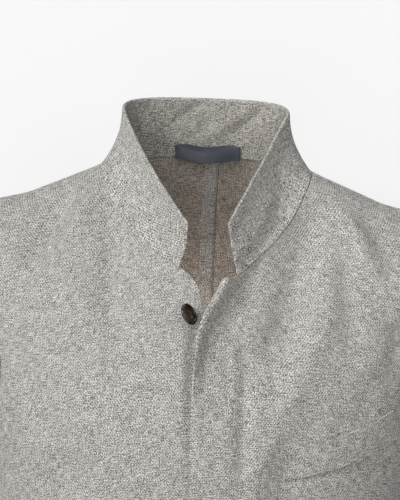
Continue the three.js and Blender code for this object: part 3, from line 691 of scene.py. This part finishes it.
def collarShell():
    alongs = np.linspace(-1, 1, 260)
    ends = np.array([0, 0.0003, 0.0012, 0.003, collar["endRound"]])
    alongs = np.concatenate([-1 + ends, alongs[1:-1], 1 - ends[::-1]])
    outerFace, backOfOuter = collar["thickness"] / 2, -collar["thickness"] / 2
    innerFace = backOfOuter - collar["layerGap"] - collar["facing"]
    middle, half = (outerFace + innerFace) / 2, (outerFace - innerFace) / 2
    edge, fold, top = lowerEdge(alongs), collar["foldRound"], 1 - collar["topRound"]
    profile = [(u * top, outerFace, 0) for u in np.linspace(0, 1, 40)]  # how far up, how far out, which cloth
    for t in np.linspace(0, math.pi, 11)[1:-1]:
        profile.append((top + collar["topRound"] * math.sin(t), middle + half * math.cos(t), 0))
    for u in np.linspace(1, 0, 34):
        profile.append((edge + fold + u * (top - edge - fold), innerFace, 1))
    for t in np.linspace(0, math.pi, 7)[1:-1]:
        turned = innerFace + collar["facing"] / 2 * (1 - math.cos(t))
        profile.append((edge + fold - fold * math.sin(t), turned, 1))
    profile.append((edge + 0.01, innerFace + collar["facing"], 1))
    for u in np.linspace(1, 0, 12)[1:]:
        profile.append((u * edge, backOfOuter, 1))
    ups = np.stack([up + 0 * alongs for up, _, _ in profile])
    offset = np.array([out for _, out, _ in profile])[:, None]
    fromEnd = np.minimum(1 - np.abs(alongs), collar["endRound"]) / collar["endRound"]
    taper = np.sqrt(np.clip(1 - (1 - fromEnd) ** 2, 0, 1))[None, :]
    points, normal = collarFrame(ups, alongs)
    points = points + normal * (middle + (offset - middle) * np.maximum(taper, 0.001))[..., None]
    rows, columns = ups.shape
    index = np.arange(rows * columns).reshape(rows, columns)
    closed = np.concatenate([index, index[:1]])
    a, b, c, d = closed[:-1, :-1], closed[:-1, 1:], closed[1:, 1:], closed[1:, :-1]
    faces = np.stack([q.ravel() for q in (a, d, c, b)], 1)
    kinds = np.repeat([kind for _, _, kind in profile], columns - 1)
    steps = np.concatenate([np.zeros((1, columns)), np.linalg.norm(np.diff(points, axis=0), axis=-1)])
    uv = np.stack([alongs * collar["halfLength"] + 0 * ups, np.cumsum(steps, axis=0)], -1) / 1000
    caps = np.stack([index[:, 0], index[::-1, -1]])
    # the facing side takes the cloth darkened as painted shade
    return makeObject("collar_cloth", points.reshape(-1, 3), [faces, caps], uv.reshape(-1, 2),
                      [woolTurned, woolShadedInside], list(kinds) + [0, 0])


collarObject = collarShell()
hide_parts("collar", "collar_facing")

neckTape = {"reach": 0.64, "lower": -0.03, "underFacing": 0.004, "behind": 0.5}  # shares of the collar, and mm
tapeAlongs = np.linspace(-neckTape["reach"], neckTape["reach"], 150)
tapeTop = lowerEdge(tapeAlongs) + neckTape["underFacing"]
tapeUps = lerp(neckTape["lower"], tapeTop, np.linspace(0, 1, 16)[:, None])
tapePoints, tapeNormals = collarFrame(tapeUps, tapeAlongs)
tapePoints = tapePoints - tapeNormals * (collar["thickness"] / 2 + neckTape["behind"])
# the tape takes the facing cloth darkened as painted shade
tape = sheetObject("neck_tape_cloth", tapePoints, collar["facing"], -1, materials=[woolShadedInside, woolShadedInside])
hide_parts("neck_tape")
print("collar made")

# Chest welt
welt = {"start": 68, "end": 171, "lowZ": -265, "rise": 16, "bend": 12, "height": 28, "lean": 4, "stand": 1.5,
        "thickness": 1.6}


def onFront(side, x, z):  # Newton steps to the row and angle with this x and z
    surface = bodySurface(side)
    at, angle = np.full(x.shape, 4.5), np.full(x.shape, 0.4)
    for _ in range(12):
        here = surface(at, angle)
        byAt = (surface(at + 1e-3, angle) - here) / 1e-3
        byAngle = (surface(at, angle + 1e-3) - here) / 1e-3
        det = byAt[..., 0] * byAngle[..., 2] - byAngle[..., 0] * byAt[..., 2]
        dx, dz = x - here[..., 0], z - here[..., 2]
        at = at + np.clip((dx * byAngle[..., 2] - byAngle[..., 0] * dz) / det, -0.5, 0.5)
        angle = angle + np.clip((byAt[..., 0] * dz - dx * byAt[..., 2]) / det, -0.3, 0.3)
    return surface(at, angle), normalOf(surface, at, angle) * side


row, column = np.meshgrid(np.linspace(0, 1, 24), np.linspace(0, 1, 80), indexing="ij")
weltX = lerp(welt["start"], welt["end"], column) - row * welt["lean"]
weltZ = welt["lowZ"] + welt["rise"] * column + welt["bend"] * column**3 + welt["height"] * row
weltPoints, weltNormals = onFront(1, weltX, weltZ)
weltPoints = weltPoints + weltNormals * (welt["thickness"] / 2 + welt["stand"])
weltObject = sheetObject("chest_welt_cloth", weltPoints, welt["thickness"], 1)
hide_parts("chest_pocket_welt")
print("welt made")


# Thread, for the button and for the dark line of painted shade in the centre back seam
def threadMaterial(name, colour):
    material, tree, out = newMaterial(name)  # dull thread; the centre back seam's is dark as painted shade
    shader = addNode(tree, "BsdfPrincipled", None, Base_Color=linear(colour), Roughness=0.8)
    tree.links.new(shader.outputs[0], out.inputs[0])
    return material


def threadObject(name, paths, thickness, material):
    curve = bpy.data.curves.new(name, "CURVE")
    curve.dimensions = "3D"
    curve.bevel_depth = thickness / 2000
    curve.bevel_resolution = 2
    for path in paths:
        spline = curve.splines.new("POLY")
        spline.points.add(len(path) - 1)
        for point, place in zip(spline.points, path):
            point.co = (*(Vector(place) / 1000), 1)
    curve.materials.append(material)
    obj = addObject(name, curve)
    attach(obj, "root")
    return obj


# Centre back seam allowance, pressed to the wearer's right
# ditch: a dark colour painted as the shade in the seam's ditch, on a thread laid along it
allowance = {"width": 13, "thickness": 1.0, "gap": 0.25, "fromSeam": 0.3, "ditch": "#47423c", "ditchWidth": 0.6}
atList = np.linspace(0.02, 7.93, 240)
stripAt, stripShare = np.meshgrid(atList, np.linspace(0, 1, 12), indexing="ij")
stripAngle = backSeam(stripAt, -1, allowance["fromSeam"] + allowance["width"] * stripShare)
backSurface = bodySurface(-1)
strip, stripNormal = backSurface(stripAt, stripAngle), -normalOf(backSurface, stripAt, stripAngle)
clear = (fronts["thickness"] + allowance["thickness"]) / 2 + allowance["gap"]
lie = lerp(0.2, clear, smooth(stripShare, 0, 0.15))  # it turns out of the seam
strip = strip - stripNormal * (np.sign(stripNormal[..., 1]) * lie)[..., None]
stripObject = sheetObject("centre_back_allowance", strip, allowance["thickness"], 1,
                          materials=[woolPressed, woolFace])
# a thread along the centre back seam, its dark colour painted shade for the shadow in the ditch
ditchAngle = backSeam(atList, -1, -allowance["fromSeam"])
ditch, ditchNormal = backSurface(atList, ditchAngle), -normalOf(backSurface, atList, ditchAngle)
ditch = ditch - ditchNormal * np.sign(ditchNormal[:, 1:2]) * fronts["thickness"] * 0.55
seamShadeThread = threadMaterial("seam thread in painted shade", allowance["ditch"])
threadObject("centre_back_stitching_painted_shade", [ditch], allowance["ditchWidth"], seamShadeThread)

# Hanger loop
ribbon = {"start": -28.7, "end": 32.4, "sag": 3.5, "dip": 4.3, "stand": 4.5, "height": 12.5, "thickness": 0.9,
          "gap": 0.3, "tuck": (0.84, 0.97), "tuckEnds": (0.84, 0.9), "dark": "#282e37", "light": "#414853"}


def satinMaterial():
    material, tree, out = newMaterial("dark satin ribbon")  # smooth dark ribbon with a soft band of shine
    place = addNode(tree, "UVMap", {"uv_map": "cloth"})
    lines = addNode(tree, "VectorMath", {"operation": "MULTIPLY"}, _0=place.outputs[0],
                    _1=(2600, 420, 1))
    threads = addNode(tree, "TexNoise", {"noise_dimensions": "2D"}, Vector=lines.outputs[0],
                      Scale=1.0, Detail=2.0)
    tone = addNode(tree, "Mix", {"data_type": "RGBA"}, _0=threads.outputs[0], _6=linear(ribbon["dark"]),
                   _7=linear(ribbon["light"]))
    relief = addNode(tree, "Bump", None, Strength=0.2, Distance=0.0002, Height=threads.outputs[0])
    shader = addNode(tree, "BsdfPrincipled", None, Base_Color=tone.outputs[2], Roughness=0.34,
                     Normal=relief.outputs[0], Sheen_Weight=0.2, Anisotropic=0.5)
    tree.links.new(shader.outputs[0], out.inputs[0])
    return material


row, column = np.meshgrid(np.linspace(0, 1, 30), np.linspace(-1, 1, 70), indexing="ij")
loopX = (ribbon["start"] + ribbon["end"]) / 2 + (ribbon["end"] - ribbon["start"]) / 2 * column
searchAlong = np.linspace(-0.4, 0.4, 400)
searchX = collarPoints(np.full((1, 400), collar["lowerEdge"]), searchAlong)[0, :, 0]
loopAlong = np.interp(loopX[0], searchX, searchAlong)
fold, foldNormal = (a[0] for a in collarFrame(np.full((1, 70), collar["lowerEdge"]), loopAlong))
bow = np.cos(column * math.pi / 2) ** 1.5
freeEnds = smooth(np.abs(column), *ribbon["tuckEnds"])
tucked = smooth(row, *ribbon["tuck"]) * (1 - freeEnds)  # its top goes under the facing
behind = collar["thickness"] / 2 + ribbon["gap"] + ribbon["thickness"] / 2
inFront = behind + collar["layerGap"] + collar["facing"]
loopPoints = fold[None] - foldNormal[None] * lerp(inFront, behind, tucked)[..., None]
loopPoints[..., 0] = loopX
loopPoints[..., 1] -= bow * ribbon["stand"] * (1 - row) ** 0.35
bottom, top = -ribbon["height"] - ribbon["sag"] * bow, 0.5 + 2.5 * tucked - ribbon["dip"] * bow
loopPoints[..., 2] += lerp(bottom, top, row)
satin = satinMaterial()
loopObject = sheetObject("hanger_loop_ribbon", loopPoints, ribbon["thickness"], 1, [satin, satin])
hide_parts("hanger_loop")
print("loop made")

# Buttons
button = {"radius": 10.3, "thickness": 3.4, "x": -15.4, "z": -120, "stand": 11.6,
          "face": (0.766, -0.45, 0.445), "dishEdge": (0.0048, 0.0075), "horn": "#1d1512", "dish": "#5a3f28",
          "thread": "#3a2c20"}
buttonProfile = [  # share of the radius and of the thickness, from the middle of the back to that of the face
    (0, 0), (0.8, 0), (0.92, 0.1), (0.985, 0.32), (1, 0.55), (0.985, 0.78), (0.94, 0.93), (0.88, 1.0),
    (0.82, 0.985), (0.77, 0.9), (0.72, 0.78), (0.66, 0.72), (0.5, 0.67), (0.44, 0.6), (0.38, 0.5),
    (0.2, 0.44), (0, 0.42),
]
lowerButtons = {"thickness": 2.8, "x": -1, "z": (-215, -310, -405, -500)}


def hornMaterial():
    material, tree, out = newMaterial("polished horn")  # near black rim, bronze brown in the dish, glossy
    place = addNode(tree, "UVMap", {"uv_map": "cloth"})
    split = addNode(tree, "SeparateXYZ", None, Vector=place.outputs[0])
    grain = addNode(tree, "TexNoise", {"noise_dimensions": "2D"}, Vector=place.outputs[0],
                    Scale=260.0, Detail=4.0, Distortion=1.5)
    reach = addNode(tree, "Math", {"operation": "MULTIPLY_ADD"}, _0=grain.outputs[0], _1=0.0025,
                    _2=split.outputs[1])
    ramp = addNode(tree, "MapRange", None, Value=reach.outputs[0], From_Min=button["dishEdge"][0],
                   From_Max=button["dishEdge"][1])
    tone = addNode(tree, "Mix", {"data_type": "RGBA"}, _0=ramp.outputs[0], _6=linear(button["dish"]),
                   _7=linear(button["horn"]))
    shader = addNode(tree, "BsdfPrincipled", None, Base_Color=tone.outputs[2], Roughness=0.22,
                     Coat_Weight=0.7, Coat_Roughness=0.06)
    tree.links.new(shader.outputs[0], out.inputs[0])
    return material


horn = hornMaterial()


def buttonObject(name, centre, face, thickness):
    around = 72
    turnTo = Vector((0, 0, 1)).rotation_difference(Vector(face))
    verts, uvs = [], []
    for reach, height in buttonProfile:
        radius = reach * button["radius"]
        for t in np.linspace(0, 2 * math.pi, around, endpoint=False):
            spot = Vector((radius * math.cos(t), radius * math.sin(t), (height - 0.5) * thickness))
            verts.append(list(turnTo @ spot + Vector(centre)))
            uvs.append((t * 0.004, radius / 1000))
    here = np.arange(len(verts)).reshape(-1, around)
    beside = np.roll(here, -1, axis=1)
    faces = np.stack([here[1:-2], beside[1:-2], beside[2:-1], here[2:-1]], -1).reshape(-1, 4)
    fans = np.concatenate([np.stack([here[0], beside[1], here[1]], 1),
                           np.stack([here[-2], beside[-2], here[-1]], 1)])
    kinds = [0] * (len(faces) + len(fans))
    return makeObject(name, verts, [faces, fans], uvs, [horn], kinds), turnTo


seat, _ = onFront(-1, np.array([button["x"]]), np.array([float(button["z"])]))
face = Vector(button["face"]).normalized()
centre = Vector(seat[0]) + Vector((0, -button["stand"], 0))
topButton, turnTo = buttonObject("top_button_horn", centre, face, button["thickness"])
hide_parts("button_top")

for k, z in enumerate(lowerButtons["z"], 2):
    place, normal = onFront(-1, np.array([float(lowerButtons["x"])]), np.array([float(z)]))
    middle = Vector(place[0] + normal[0] * fronts["lapLift"] / 2)  # between the two fronts
    lower, _ = buttonObject(f"button_{k}_horn", middle, normal[0], lowerButtons["thickness"])
    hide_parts(f"button_{k}")


def onButton(x, y, z):
    return centre + turnTo @ Vector((x, y, z))


bar = ((-1.9, -0.5), (-1.7, 0.35), (0, 0.55), (1.7, 0.35), (1.9, -0.5))  # along the face, and above its dish
stitches = [[onButton(x, y, h) for y, h in bar] for x in (-1.7, 1.7)]  # two bars across four holes
start, end = onButton(0, 0, -1.6), Vector(seat[0])
shank = [start, (start + end) / 2 + Vector((0.4, 0, -0.5)), end]
apart = ((0.5, 0, 0.5), (0.5, 0, 0.4), (0.7, 0, 0.5))
stitches += [shank, [point + Vector(step) for point, step in zip(shank, apart)]]
buttonThread = threadMaterial("button thread", button["thread"])
threadObject("top_button_thread", stitches, 0.7, buttonThread)
print("buttons made")

# Stage, light and camera
stage = {"floorZ": -0.78, "wallY": 0.1, "bend": 0.12, "front": -5.0, "top": 3.0, "halfWidth": 4.0,
         "colour": "#f6f6f6", "shadow": 0.2, "glow": 1.05, "worldLight": 0.12}


def stageMaterial():
    material, tree, out = newMaterial("pale studio sweep")  # plain and pale, clear from behind
    plain = addNode(tree, "BsdfDiffuse", None, Color=linear(stage["colour"]))
    glow = addNode(tree, "Emission", None, Color=linear(stage["colour"]), Strength=stage["glow"])
    mixed = addNode(tree, "MixShader", None, _0=1 - stage["shadow"], _1=plain.outputs[0],
                    _2=glow.outputs[0])
    clear = addNode(tree, "BsdfTransparent")
    path = addNode(tree, "LightPath")
    behind = addNode(tree, "NewGeometry")
    either = addNode(tree, "Math", {"operation": "MAXIMUM"}, _0=path.outputs["Is Shadow Ray"],
                     _1=behind.outputs["Backfacing"])
    shown = addNode(tree, "MixShader", None, _0=either.outputs[0], _1=mixed.outputs[0],
                    _2=clear.outputs[0])
    tree.links.new(shown.outputs[0], out.inputs[0])
    return material


bend = stage["bend"]
sweepPath = [(stage["front"], stage["floorZ"]), (stage["wallY"] - bend, stage["floorZ"])]
for turn in np.linspace(0, math.pi / 2, 9)[1:]:
    y, z = 1 - math.sin(turn), 1 - math.cos(turn)
    sweepPath.append((stage["wallY"] - bend * y, stage["floorZ"] + bend * z))
sweepPath.append((stage["wallY"], stage["top"]))
mesh = bpy.data.meshes.new("studio_sweep")
mesh.from_pydata([(x * stage["halfWidth"], y, z) for y, z in sweepPath for x in (-1, 1)], [],
                 [(2 * k, 2 * k + 1, 2 * k + 3, 2 * k + 2) for k in range(len(sweepPath) - 1)])
mesh.materials.append(stageMaterial())
sweep = addObject("studio_sweep", mesh)
sweep.visible_diffuse = False  # it doesn't throw light back, so folds keep their shade

lights = [  # name, degrees round from the front (viewer's left is below 0), degrees up, softness, strength
    ("front_soft", -8, 4, 6, 0.17),
    ("front_high", -10, 22, 12, 0.26),
    ("key_left", -55, 34, 20, 1.66),
    ("key_high", -32, 48, 25, 0.45),
    ("fill_right", 40, 25, 40, 0.6),
    ("floor_soft", -15, -22, 40, 0.7),  # stands in for the light that a studio floor throws back
    ("back_soft", 165, 12, 20, 1.6),
]
for name, around, up, softness, strength in lights:
    data = bpy.data.lights.new(name, "SUN")
    data.angle, data.energy = math.radians(softness), strength
    lamp = addObject(name, data)
    around, up = math.radians(around), math.radians(up)
    toLamp = Vector((math.sin(around) * math.cos(up), -math.cos(around) * math.cos(up), math.sin(up)))
    lamp.location = toLamp * 3
    lamp.rotation_euler = toLamp.to_track_quat("Z", "Y").to_euler()

inside = bpy.data.lights.new("inside_soft", "AREA")  # a weak lamp in the hollow, for the inside of the back
inside.shape, inside.size, inside.energy, inside.color = "DISK", 0.1, 0.1, linear("#fff4ee")[:3]
insideLamp = addObject("inside_soft", inside)
insideLamp.location = (-0.02, -0.05, -0.2)
insideLamp.rotation_euler = Vector((0, -1, -0.15)).to_track_quat("Z", "Y").to_euler()

world = bpy.data.worlds.new("studio")
world.use_nodes = True
world.node_tree.nodes["Background"].inputs[0].default_value = linear(stage["colour"])
world.node_tree.nodes["Background"].inputs[1].default_value = stage["worldLight"]
bpy.context.scene.world = world
bpy.context.scene.view_settings.view_transform = "Standard"

view = {"target": (-0.0055, -0.12, -0.0716), "distance": 2.5, "elevation": math.radians(8), "lens": 198}
camera = addObject("camera", bpy.data.cameras.new("camera"))
camera.data.lens, camera.data.sensor_width = view["lens"], 36
target = Vector(view["target"])
toCamera = Vector((0, -math.cos(view["elevation"]), math.sin(view["elevation"])))
camera.location = target + view["distance"] * toCamera
camera.rotation_euler = (target - camera.location).to_track_quat("-Z", "Y").to_euler()
bpy.context.scene.camera = camera
print("stage made")
